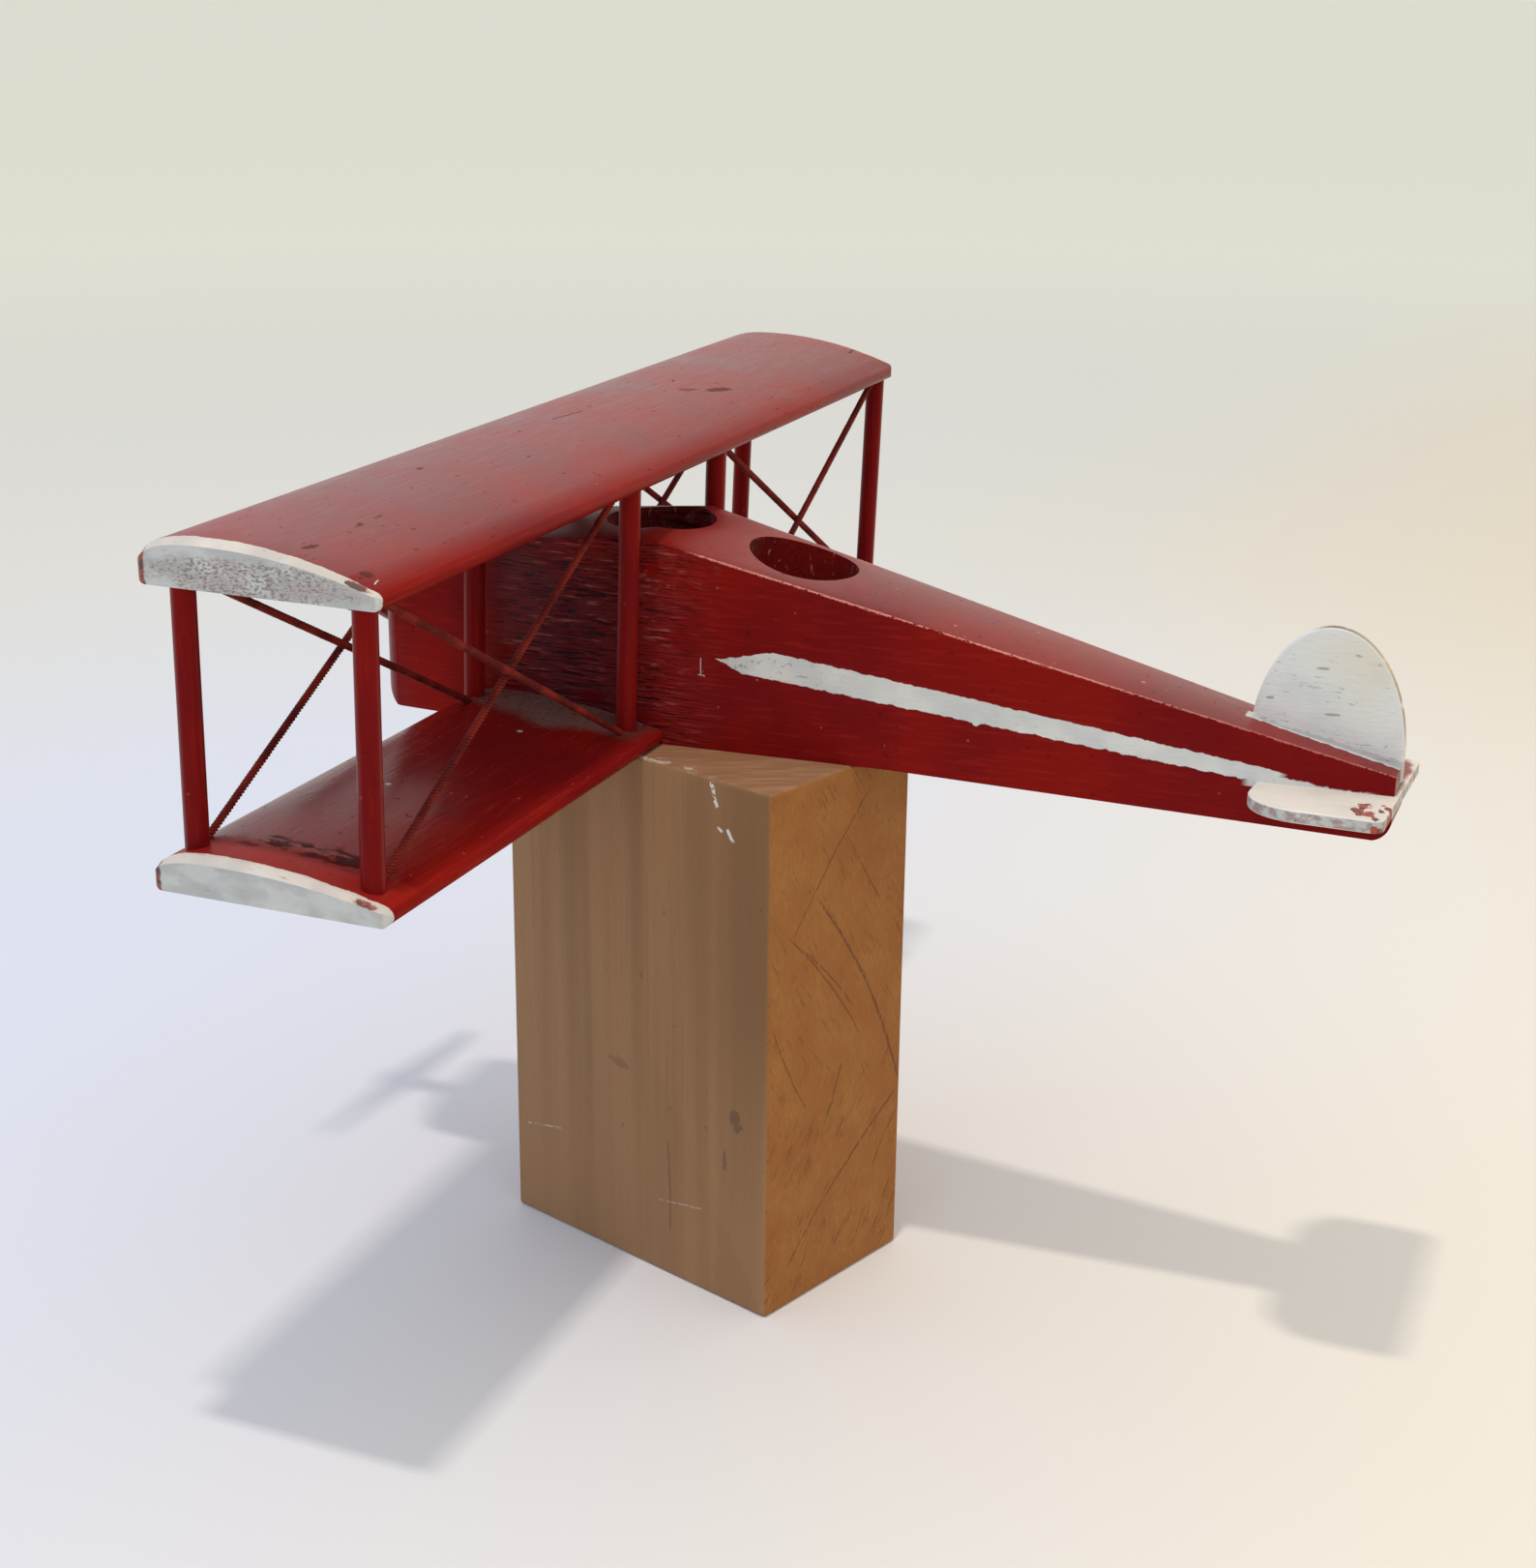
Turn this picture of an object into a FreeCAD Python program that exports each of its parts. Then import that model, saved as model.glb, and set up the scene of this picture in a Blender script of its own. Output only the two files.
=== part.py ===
import FreeCAD, Part
import math
import os

# Hand-made wooden biplane scale model, resting loose on an upright wooden block.
# Millimetres.  Layout datum: x = 0 is the centre plane with +X to port, y = 0 the rear struts'
# feet with the nose towards -Y, z = 0 the underside of the block.  On export everything is
# shifted along Y, so that the shared frame sits at the bottom centre of the whole.

# ---- display block: an offcut standing on end, set askew under the model ----------------------
BLOCK_W, BLOCK_L, BLOCK_H = 54.0, 90.8, 141.5
BLOCK_CENTRE = (5.4, 12.8)
BLOCK_TURN = -18.8                    # degrees about Z
BLOCK_EDGE = 0.7

# ---- wing planks: flat underside, cambered top, blunt leading edge ----------------------------
BELLY_Z = BLOCK_H
LOWER_HALF_SPAN, LOWER_LE, LOWER_TE = 154.5, -49.5, 7.3
LOWER_THICK, LOWER_TE_THICK = 9.0, 3.5
UPPER_HALF_SPAN, UPPER_LE, UPPER_TE = 152.4, -49.8, 7.2
UPPER_THICK, UPPER_TE_THICK = 10.8, 3.1
UPPER_UNDERSIDE_Z = BELLY_Z + 66.8
UPPER_ROLL = 0.3                      # degrees: the port tip sits a little lower
CREST = 0.30                          # thickest station as a fraction of the chord
BLUNTNESS = 2.8                       # exponent of the leading-edge curve
EDGE_LIP = 2.2                        # radius under the leading edge
TE_ROUND = 1.1                        # how far the trailing edge bulges past its two corners
PORT_CORNER_R = (1.5, 2.0)            # front and rear, in plan: the port tips are worn square
STARBOARD_CORNER_R = (6.0, 6.0)
TIP_BEVEL = 1.6

# ---- struts and rigging --------------------------------------------------------------------------
STRUT_D = 5.3
OUTER_X, INNER_X = 147.4, 26.3
FRONT_Y, REAR_Y = -42.8, 0.0
TOP_RAKE, TOP_SPLAY = 1.7, 1.4        # strut tops stand aft, and the outer ones lean outwards
SOCKET_LOWER, SOCKET_UPPER = 3.5, 4.0
CORD_D = 1.5
CORD_INSET = 4.6                      # cord hole to strut axis
CORD_PASS = 1.7                       # centre to centre where a pair crosses
CORD_SINK = 2.5                       # depth of the cord holes in the planks

# ---- fuselage: straight-sided block with a slightly crowned deck ------------------------------
NOSE_Y, BREAK_Y, TAIL_Y = -75.0, 66.0, 186.0
TAIL_DROP = 3.5                       # belly line falls a little behind the block
CHIN_R, HEEL_R, NOSE_CORNER_R = 13.0, 5.0, 5.0
# station, half width at deck edge, half width at belly, height of the side, crown of the deck
FUSELAGE_STATIONS = (
    (NOSE_Y, 17.5, 17.5, 46.0, 1.6),
    (-20.0, 21.0, 20.6, 50.6, 2.2),
    (3.0, 20.9, 20.2, 52.8, 2.2),
    (BREAK_Y, 16.1, 16.1, 38.8, 1.5),
    (TAIL_Y, 6.8, 8.8, 11.8 + TAIL_DROP, 0.4),
)
COCKPIT_D, COCKPIT_DEPTH = 28.0, 22.0
COCKPIT_Y = (-2.0, 37.0)
COCKPIT_TILT = (0.0, 8.0)             # degrees aft, nearly square to the deck
BIT_POINT_D, BIT_POINT_DEPTH = 3.0, 2.0

# ---- tail: a fin in a slot and two plates in grooves ----------------------------------------------
PLATE_TOP_Z, PLATE_THICK = BELLY_Z + 8.9, 3.0
PLATE_HALF_SPAN, PLATE_FRONT, PLATE_REAR = 31.0, 154.6, 187.0
PLATE_FRONT_R, PLATE_REAR_R, PLATE_EDGE_R = 13.0, 3.0, 0.5
PLATE_ROLL = 3.8                      # degrees: the pair leans as one, its port tip at PLATE_TOP_Z
TONGUE_DEPTH, TONGUE_SHOULDER = 3.0, 3.0
FIN_Y, FIN_Z = 168.6, BELLY_Z + 15.0
FIN_HALF_LENGTH, FIN_HEIGHT, FIN_THICK = 18.0, 29.0, 2.4
FIN_SLOT_DEPTH, FIN_EDGE_R = 3.2, 0.6

# ---- propeller on a nail ---------------------------------------------------------------------------
SHAFT_Z = BELLY_Z + 25.0
NAIL_FRONT_Y = -97.0
NAIL_D, NAIL_HEAD_D, NAIL_HEAD_T, NAIL_DEPTH = 2.6, 6.4, 1.0, 30.0
WASHER_D, WASHER_T = 8.0, 0.8
HUB_D, HUB_L = 12.0, 9.0
RUNNING_GAP, END_PLAY = 0.08, 0.15    # radial on the nail, and at each end of the hub
BEAD_D = 7.0
BLADE_R = 46.0
# fraction of the radius, chord, thickness, pitch in degrees
BLADE_STATIONS = ((0.06, 8.0, 6.4, 48.0), (0.35, 11.5, 4.4, 34.0), (0.70, 11.0, 3.0, 24.0),
                  (0.93, 8.5, 2.2, 19.0), (1.0, 4.0, 1.2, 18.0))
PROPELLER_REST = 28.0                 # degrees: the port blade stands above the level

Y_SHIFT = -(NAIL_FRONT_Y + PLATE_REAR) / 2.0

V = FreeCAD.Vector
X, Y, Z = V(1, 0, 0), V(0, 1, 0), V(0, 0, 1)


def prism(points, direction):
    solid = Part.Face(Part.makePolygon(points + points[:1])).extrude(direction)
    return solid if solid.Volume > 0 else solid.reversed()


def rod(a, b, diameter):
    return Part.makeCylinder(diameter / 2.0, (b - a).Length, a, b - a)


def edges_where(shape, test):
    return [edge for edge in shape.Edges if test(edge.BoundBox)]


def between_stations(y):
    """Fuselage half widths, side height and crown interpolated at a station."""
    for a, b in zip(FUSELAGE_STATIONS, FUSELAGE_STATIONS[1:]):
        if y <= b[0] or b is FUSELAGE_STATIONS[-1]:
            t = (y - a[0]) / (b[0] - a[0])
            return [p + t * (q - p) for p, q in zip(a[1:], b[1:])]


def belly_z(y):
    return BELLY_Z - TAIL_DROP * max(0.0, y - BREAK_Y) / (TAIL_Y - BREAK_Y)


def deck_z(y):
    _, _, side, crown = between_stations(y)
    return belly_z(y) + side + crown


def side_x(y, z):
    """Half width of the fuselage at a height."""
    top, low, side, _ = between_stations(y)
    return low + (top - low) * (z - belly_z(y)) / side


# ---- display block -----------------------------------------------------------------------------------
def make_block():
    corner = V(BLOCK_CENTRE[0] - BLOCK_W / 2.0, BLOCK_CENTRE[1] - BLOCK_L / 2.0, 0)
    block = Part.makeBox(BLOCK_W, BLOCK_L, BLOCK_H, corner)
    block = block.makeChamfer(BLOCK_EDGE, block.Edges)
    block.rotate(V(BLOCK_CENTRE[0], BLOCK_CENTRE[1], 0), Z, BLOCK_TURN)
    return block


# ---- wings ------------------------------------------------------------------------------------------------
def camber(s, thick, te_thick):
    """Height of the top surface above the underside at chord fraction s."""
    if s < CREST:
        rise = (1.0 - ((CREST - s) / CREST) ** BLUNTNESS) ** (1.0 / BLUNTNESS)
        return EDGE_LIP + (thick - EDGE_LIP) * rise
    return thick - (thick - te_thick) * ((s - CREST) / (1.0 - CREST)) ** 2


def wing_outline(x, y_le, y_te, thick, te_thick, z_under):
    """Section of a plank: cambered top, bulging trailing edge, flat underside, lipped leading edge."""
    chord = y_te - y_le
    stations = [CREST * (1.0 - math.cos(math.pi / 2.0 * i / 10)) for i in range(11)]
    stations += [CREST + (1.0 - CREST) * i / 8.0 for i in range(1, 9)]
    stations[-1] -= TE_ROUND / chord
    top = [V(x, y_le + s * chord, z_under + camber(s, thick, te_thick)) for s in stations]
    curve = Part.BSplineCurve()
    curve.interpolate(top)
    heel, toe = V(x, y_te - TE_ROUND, z_under), V(x, y_le + EDGE_LIP, z_under)
    rear = Part.Arc(top[-1], V(x, y_te, z_under + te_thick / 2.0), heel)
    bend = EDGE_LIP * (1.0 - math.sqrt(0.5))
    lip = Part.Arc(toe, V(x, y_le + bend, z_under + bend), top[0])
    return Part.Wire([curve.toShape(), rear.toShape(), Part.makeLine(heel, toe), lip.toShape()])


def make_wing(half_span, y_le, y_te, thick, te_thick, z_under):
    inner = half_span - TIP_BEVEL
    sections = []
    for x, drop in ((-half_span, TIP_BEVEL), (-inner, 0.0), (inner, 0.0), (half_span, TIP_BEVEL)):
        sections.append(wing_outline(x, y_le, y_te, thick - drop, te_thick - drop / 3.0, z_under))
    wing = Part.makeLoft(sections, True, True)
    low, tall = z_under - 1.0, thick + 2.0
    for side, radii in ((1, PORT_CORNER_R), (-1, STARBOARD_CORNER_R)):
        for y, inward, radius in zip((y_le, y_te), (1, -1), radii):
            centre = V(side * (half_span - radius), y + inward * radius, low)
            square = Part.makeBox(radius + 1.0, radius + 1.0, tall)
            square.translate(centre - V(side < 0, inward > 0, 0) * (radius + 1.0))
            wing = wing.cut(square.cut(Part.makeCylinder(radius, tall, centre)))
    return wing


def lower_top_z(y):
    return BELLY_Z + camber((y - LOWER_LE) / (LOWER_TE - LOWER_LE), LOWER_THICK, LOWER_TE_THICK)


def upper_under_z(x):
    return UPPER_UNDERSIDE_Z - x * math.tan(math.radians(UPPER_ROLL))


# ---- struts let into both planks, and crossed cords between them ------------------------------------
def strut_ends(side, bay, y):
    foot = V(side * (OUTER_X if bay == "outer" else INNER_X), y, lower_top_z(y))
    x_top = foot.x + (side * TOP_SPLAY if bay == "outer" else 0.0)
    return foot, V(x_top, y + TOP_RAKE, upper_under_z(x_top))


def make_cord(low, high):
    """A taut cord from plank to plank; each end turns into an upright hole beside the strut."""
    sink = V(0, 0, CORD_SINK)
    bends = [Part.makeSphere(CORD_D / 2.0, point) for point in (low, high)]
    ends = [rod(low - sink, low, CORD_D), rod(high, high + sink, CORD_D)]
    return rod(low, high, CORD_D).fuse(bends + ends).removeSplitter()


def make_struts_and_cords():
    pieces = {}
    for side, side_name in ((1, "port"), (-1, "starboard")):
        for y, row in ((FRONT_Y, "front"), (REAR_Y, "rear")):
            anchors = {}
            for bay, inward in (("outer", -side), ("inner", side)):
                foot, top = strut_ends(side, bay, y)
                along = (top - foot).normalize()
                pieces["strut_%s_%s_%s" % (side_name, bay, row)] = rod(
                    foot - along * SOCKET_LOWER, top + along * SOCKET_UPPER, STRUT_D)
                aside = V(inward * CORD_INSET, 0, 0)
                anchors[bay] = (foot + aside, top + aside)
            for lean, high, low in ((1, "outer", "inner"), (-1, "inner", "outer")):
                offset = V(0, lean * CORD_PASS / 2.0, 0)
                a, b = anchors[low][0] + offset, anchors[high][1] + offset
                pieces["cord_%s_%s_%s_high" % (side_name, row, high)] = make_cord(a, b)
    return pieces


# ---- fuselage --------------------------------------------------------------------------------------------
def station_wire(y, half_top, half_low, side, crown):
    z0 = belly_z(y)
    a, b = V(-half_low, y, z0), V(half_low, y, z0)
    c, d = V(half_top, y, z0 + side), V(-half_top, y, z0 + side)
    deck = Part.Arc(c, V(0, y, z0 + side + crown), d).toShape()
    return Part.Wire([Part.makeLine(a, b), Part.makeLine(b, c), deck, Part.makeLine(d, a)])


def make_fuselage_block():
    block = Part.makeLoft([station_wire(*row) for row in FUSELAGE_STATIONS], True, True)
    length = TAIL_Y - NOSE_Y
    profile = Part.makeBox(120.0, length, 120.0, V(-60.0, NOSE_Y, BELLY_Z - TAIL_DROP))
    chin = edges_where(profile, lambda b: b.XLength > 100 and b.YMax < NOSE_Y + 1 and b.ZMax < BELLY_Z)
    profile = profile.makeFillet(CHIN_R, chin)
    heel = edges_where(profile, lambda b: b.XLength > 100 and b.YMin > TAIL_Y - 1 and b.ZMax < BELLY_Z)
    profile = profile.makeFillet(HEEL_R, heel)
    nose_w = 2.0 * FUSELAGE_STATIONS[0][1]
    plan = Part.makeBox(nose_w, length, 120.0, V(-nose_w / 2.0, NOSE_Y, BELLY_Z - 10.0))
    plan = plan.makeFillet(NOSE_CORNER_R, edges_where(
        plan, lambda b: b.ZLength > 100 and b.YMax < NOSE_Y + 1))
    plan = plan.fuse(Part.makeBox(120.0, length, 120.0, V(-60.0, NOSE_Y + NOSE_CORNER_R, BELLY_Z - 10.0)))
    return block.common(profile).common(plan)


def make_cockpit(y, tilt):
    """Flat-bottomed bore with the small pit left by the point of the bit."""
    mouth = V(0, y, deck_z(y))
    down = V(0, -math.sin(math.radians(tilt)), -math.cos(math.radians(tilt)))
    start = mouth - down * 10.0
    bore = Part.makeCylinder(COCKPIT_D / 2.0, COCKPIT_DEPTH + 10.0, start, down)
    pit = Part.makeCone(BIT_POINT_D / 2.0, 0.2, BIT_POINT_DEPTH, mouth + down * COCKPIT_DEPTH, down)
    return bore.fuse(pit)


# ---- tail ------------------------------------------------------------------------------------------------
def make_tailplane(side, fuselage):
    """Thin half plate with a shouldered tongue that fills a groove in the fuselage side."""
    z0, chord = PLATE_TOP_Z - PLATE_THICK, PLATE_REAR - PLATE_FRONT
    middle_span = PLATE_HALF_SPAN / 2.0
    plate = Part.makeBox(PLATE_HALF_SPAN, chord, PLATE_THICK, V(0, PLATE_FRONT, z0))
    for radius, at_front in ((PLATE_FRONT_R, True), (PLATE_REAR_R, False)):
        middle = PLATE_FRONT + chord / 2.0
        plate = plate.makeFillet(radius, edges_where(
            plate, lambda b: b.ZLength > 2.0 and b.XMin > 20.0 and (b.YMax < middle) == at_front))
    plate = plate.makeFillet(PLATE_EDGE_R, edges_where(
        plate, lambda b: b.ZLength < 0.01 and b.XMax > middle_span))
    front, rear = PLATE_FRONT + TONGUE_SHOULDER, PLATE_REAR - TONGUE_SHOULDER
    root = [V(side_x(y, z0) - TONGUE_DEPTH, y, z0) for y in (front, rear)]
    wide = V(middle_span, 0, 0)
    tongue = prism([root[0], root[0] + wide, root[1] + wide, root[1]], V(0, 0, PLATE_THICK))
    if side < 0:
        plate, tongue = plate.mirror(V(0, 0, 0), X), tongue.mirror(V(0, 0, 0), X)
    for shape in (plate, tongue):
        shape.rotate(V(PLATE_HALF_SPAN, 0, PLATE_TOP_Z), Y, -PLATE_ROLL)
    return plate.cut(fuselage).fuse(tongue.common(fuselage)).removeSplitter()


def make_fin():
    """Half ellipse above straight edges, on a foot that follows the slope of the deck."""
    x = -FIN_THICK / 2.0
    front, rear, low = FIN_Y - FIN_HALF_LENGTH, FIN_Y + FIN_HALF_LENGTH, FIN_Z - 10.0
    oval = Part.Ellipse(V(x, FIN_Y, FIN_Z + FIN_HEIGHT), V(x, front, FIN_Z), V(x, FIN_Y, FIN_Z))
    crown = Part.ArcOfEllipse(oval, -math.pi / 2.0, math.pi / 2.0).toShape()
    corners = [V(x, front, FIN_Z), V(x, front, low), V(x, rear, low), V(x, rear, FIN_Z)]
    outline = Part.Wire([crown] + Part.makePolygon(corners).Edges)
    fin = Part.Face(outline).extrude(V(FIN_THICK, 0, 0))
    fin = fin.makeFillet(FIN_EDGE_R, edges_where(fin, lambda b: b.XLength < 0.01 and b.ZLength > 20.0))
    slot_floor = [V(-5, y, deck_z(y) - FIN_SLOT_DEPTH) for y in (BREAK_Y, TAIL_Y)]
    slot_floor[1] += (slot_floor[1] - slot_floor[0]) * 0.1
    below = prism(slot_floor + [p - V(0, 0, 60) for p in reversed(slot_floor)], V(10, 0, 0))
    return fin.cut(below)


# ---- propeller, nail, washers and bead -----------------------------------------------------------------
def ring(y_front, length, outer, inner):
    centre = V(0, y_front, SHAFT_Z)
    return Part.makeCylinder(outer / 2.0, length, centre, Y).cut(
        Part.makeCylinder(inner / 2.0, length, centre, Y))


def blade_wire(fraction, chord, thick, pitch, y_mid):
    centre = V(BLADE_R * fraction, y_mid, SHAFT_Z)
    p = math.radians(pitch)
    along, across = V(0, math.sin(p), math.cos(p)), V(0, math.cos(p), -math.sin(p))
    outline = Part.Ellipse(centre + along * (chord / 2.0), centre + across * (thick / 2.0), centre)
    return Part.Wire(outline.toShape())


def make_propeller(y_front):
    y_mid = y_front + HUB_L / 2.0
    hub = Part.makeCylinder(HUB_D / 2.0, HUB_L, V(0, y_front, SHAFT_Z), Y)
    hub = hub.makeFillet(1.2, edges_where(hub, lambda b: b.YLength < 0.01))
    blade = Part.makeLoft([blade_wire(*row, y_mid) for row in BLADE_STATIONS], True, False)
    opposite = blade.copy()
    opposite.rotate(V(0, 0, SHAFT_Z), Y, 180.0)
    bore = Part.makeCylinder(NAIL_D / 2.0 + RUNNING_GAP, HUB_L, V(0, y_front, SHAFT_Z), Y)
    propeller = hub.fuse([blade, opposite]).cut(bore).removeSplitter()
    propeller.rotate(V(0, 0, SHAFT_Z), Y, -PROPELLER_REST)
    return propeller


def make_nail():
    shank = Part.makeCylinder(NAIL_D / 2.0, NOSE_Y + NAIL_DEPTH - NAIL_FRONT_Y - NAIL_HEAD_T,
                              V(0, NAIL_FRONT_Y + NAIL_HEAD_T, SHAFT_Z), Y)
    head = Part.makeCylinder(NAIL_HEAD_D / 2.0, NAIL_HEAD_T, V(0, NAIL_FRONT_Y, SHAFT_Z), Y)
    head = head.makeFillet(0.3, edges_where(head, lambda b: b.YMax < NAIL_FRONT_Y + 0.01))
    return shank.fuse(head).removeSplitter()


# ---- assembly --------------------------------------------------------------------------------------------
nodes = {"display_block": make_block()}

rigging = make_struts_and_cords()
lower_wing = make_wing(LOWER_HALF_SPAN, LOWER_LE, LOWER_TE, LOWER_THICK, LOWER_TE_THICK, BELLY_Z)
upper_wing = make_wing(UPPER_HALF_SPAN, UPPER_LE, UPPER_TE, UPPER_THICK, UPPER_TE_THICK,
                       UPPER_UNDERSIDE_Z)
upper_wing.rotate(V(0, 0, UPPER_UNDERSIDE_Z), Y, UPPER_ROLL)
nodes["lower_wing"] = lower_wing.cut(list(rigging.values()))
nodes["upper_wing"] = upper_wing.cut(list(rigging.values()))
nodes.update(rigging)

fuselage = make_fuselage_block()
nodes["tailplane_port"] = make_tailplane(1, fuselage)
nodes["tailplane_starboard"] = make_tailplane(-1, fuselage)
nodes["tail_fin"] = make_fin()
nodes["propeller_nail"] = make_nail()
holes = [make_cockpit(y, tilt) for y, tilt in zip(COCKPIT_Y, COCKPIT_TILT)]
let_in = [nodes[n] for n in ("tailplane_port", "tailplane_starboard", "tail_fin", "propeller_nail")]
nodes["fuselage"] = fuselage.cut([lower_wing] + let_in + holes)

outer_washer_y = NAIL_FRONT_Y + NAIL_HEAD_T
hub_y = outer_washer_y + WASHER_T + END_PLAY
inner_washer_y = hub_y + HUB_L + END_PLAY
bead_y = inner_washer_y + WASHER_T
nodes["washer_outer"] = ring(outer_washer_y, WASHER_T, WASHER_D, NAIL_D)
nodes["propeller"] = make_propeller(hub_y)
nodes["washer_inner"] = ring(inner_washer_y, WASHER_T, WASHER_D, NAIL_D)
nodes["spacer_bead"] = ring(bead_y, NOSE_Y - bead_y, BEAD_D, NAIL_D)

os.makedirs("parts", exist_ok=True)
for name, shape in nodes.items():
    shape.translate(V(0, Y_SHIFT, 0))
    solid = shape.Solids[0] if len(shape.Solids) == 1 else shape
    solid.exportStep("parts/%s.step" % name)
    print(name, len(shape.Solids), shape.isValid(), round(shape.Volume, 1))
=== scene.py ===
"""Looks of the wooden biplane model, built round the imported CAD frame.

Lengths in the material code are millimetres in the row frame: +X port, -Y nose, +Z up.
Lengths of meshes, lights and the camera are metres.  Colours are linear.
"""
import math
import bpy
from mathutils import Matrix, Vector, noise


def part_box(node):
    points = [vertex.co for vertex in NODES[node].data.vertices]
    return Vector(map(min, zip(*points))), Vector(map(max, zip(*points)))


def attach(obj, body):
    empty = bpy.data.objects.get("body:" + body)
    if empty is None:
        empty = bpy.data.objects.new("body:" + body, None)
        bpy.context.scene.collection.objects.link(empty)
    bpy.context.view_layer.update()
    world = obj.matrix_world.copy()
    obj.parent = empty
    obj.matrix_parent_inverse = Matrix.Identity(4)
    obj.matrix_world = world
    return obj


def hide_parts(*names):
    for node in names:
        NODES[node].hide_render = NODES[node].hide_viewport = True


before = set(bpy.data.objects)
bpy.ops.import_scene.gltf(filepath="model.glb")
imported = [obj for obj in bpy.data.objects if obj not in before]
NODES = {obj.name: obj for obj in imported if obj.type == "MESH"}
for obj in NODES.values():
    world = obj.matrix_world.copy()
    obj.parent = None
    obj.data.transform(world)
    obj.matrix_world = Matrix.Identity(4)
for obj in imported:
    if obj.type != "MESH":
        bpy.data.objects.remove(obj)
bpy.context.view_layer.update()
MM = 0.001

# ---- the object's own places, in millimetres -----------------------------------------------------
BLOCK_CENTRE = (5.4, -32.2)
BLOCK_TURN = math.radians(-18.8)
BLOCK_HALF_WIDTH = 27.0
UPPER_HALF_SPAN, UPPER_BAND = 152.4, 1.7        # band: how far the white comes in over the top
LOWER_HALF_SPAN, LOWER_BAND = 154.5, 2.6
CORD_RADIUS, CORD_SINK = 0.75, 2.5
TWINE_RADIUS, TWINE_LAY = 0.96, 2.9
TAIL_Y = 142.0
SHAFT_Z = 166.5
BLADE_LEAN = (0.88, 0.47)                       # cosine and sine of the blades' angle at rest
COCKPITS = (((0.0, -47.0), (15.4, 15.4)), ((0.0, -8.0), (15.4, 16.4)))
COCKPIT_RADIUS = 15.0
DECK_BREAK_Y = 21.0                             # where the fuselage's taper sets in
DECK_HALF_WIDTH = (16.1, -0.077)                # at the break, and per millimetre aft of it
DECK_EDGE_Z = (180.3, -0.2237)
FIN_FRONT_Y = 104.2
# the white flash is set out from its own datum: station, height and slope of each bounding line
FLASH_DATUM = (-45.0, 148.53)
FLASH_UPPER_LINES = ((21.7, 16.8, 0.212), (36.3, 19.9, -0.134))
FLASH_LOWER_LINES = ((21.7, 16.8, -0.477), (28.2, 13.7, -0.1055))
FLASH_END = (161.5, 159.0)

# ---- red paint -----------------------------------------------------------------------------------
RED = (0.222, 0.0072, 0.0047)
RED_DEEP = (0.160, 0.0052, 0.0066)
RED_BRIGHT = (0.370, 0.0210, 0.0120)
RED_DARK = (0.045, 0.0050, 0.0050)
RED_RUBBED = (0.520, 0.200, 0.165)
RED_UNDERCOAT = (0.330, 0.0560, 0.0380)
RED_UNDER_WHITE = (0.390, 0.060, 0.030)
EDGE_HIGHLIGHT_PINK = (0.700, 0.280, 0.220)
PURPLE_PAINTED_SHADE = (0.058, 0.0060, 0.0115)
GRAIN_RIDGE_HIGHLIGHT = (0.400, 0.115, 0.100)
GRAIN_GROOVE_SHADE = (0.016, 0.0030, 0.0040)
BROWN_CHIP = (0.085, 0.0300, 0.0220)
ROOT_GREY = (0.175, 0.140, 0.115)
TWINE_RED = (0.215, 0.0190, 0.0120)
TWINE_DARK = (0.105, 0.0080, 0.0070)
TWINE_FUZZ = (0.340, 0.0750, 0.0500)

# ---- white paint ---------------------------------------------------------------------------------
WHITE = (0.740, 0.735, 0.690)
WHITE_GREY = (0.560, 0.575, 0.560)
WHITE_COOL = (0.690, 0.720, 0.700)
WHITE_CREAM = (0.800, 0.730, 0.620)
WHITE_WARM = (0.700, 0.640, 0.470)
WHITE_WARM_LIT = (0.640, 0.500, 0.400)
WHITE_PAINTED_SHADE = (0.440, 0.450, 0.440)
WHITE_DIRT = (0.210, 0.200, 0.185)
TIP_WORN = (0.480, 0.415, 0.395)
TIP_BARE = (0.225, 0.178, 0.175)
PLATE_GRIME = (0.300, 0.175, 0.160)
RIM_TAN = (0.330, 0.210, 0.130)

# ---- wood and metal ------------------------------------------------------------------------------
WOOD_PALE = (0.330, 0.176, 0.080)
WOOD_MID = (0.262, 0.140, 0.062)
WOOD_LINE = (0.215, 0.112, 0.052)
WOOD_PORE = (0.180, 0.092, 0.044)
WOOD_GRIMY = (0.195, 0.100, 0.038)
WOOD_FOOT = (0.350, 0.185, 0.090)
WOOD_KNOT = (0.075, 0.040, 0.030)
WOOD_GOLD = (0.350, 0.150, 0.038)
WOOD_GOLD_DEEP = (0.300, 0.112, 0.025)
WOOD_TORN = (0.430, 0.200, 0.060)
WOOD_DARK = (0.115, 0.0450, 0.0150)
WOOD_CORNER = (0.420, 0.235, 0.120)
TOP_DARK = (0.285, 0.140, 0.066)
TOP_PALE = (0.345, 0.190, 0.105)
TOP_DENT = (0.560, 0.500, 0.410)
CHALK = (0.720, 0.700, 0.640)
STEEL = (0.430, 0.420, 0.400)
STEEL_TARNISHED = (0.210, 0.150, 0.110)

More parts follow.
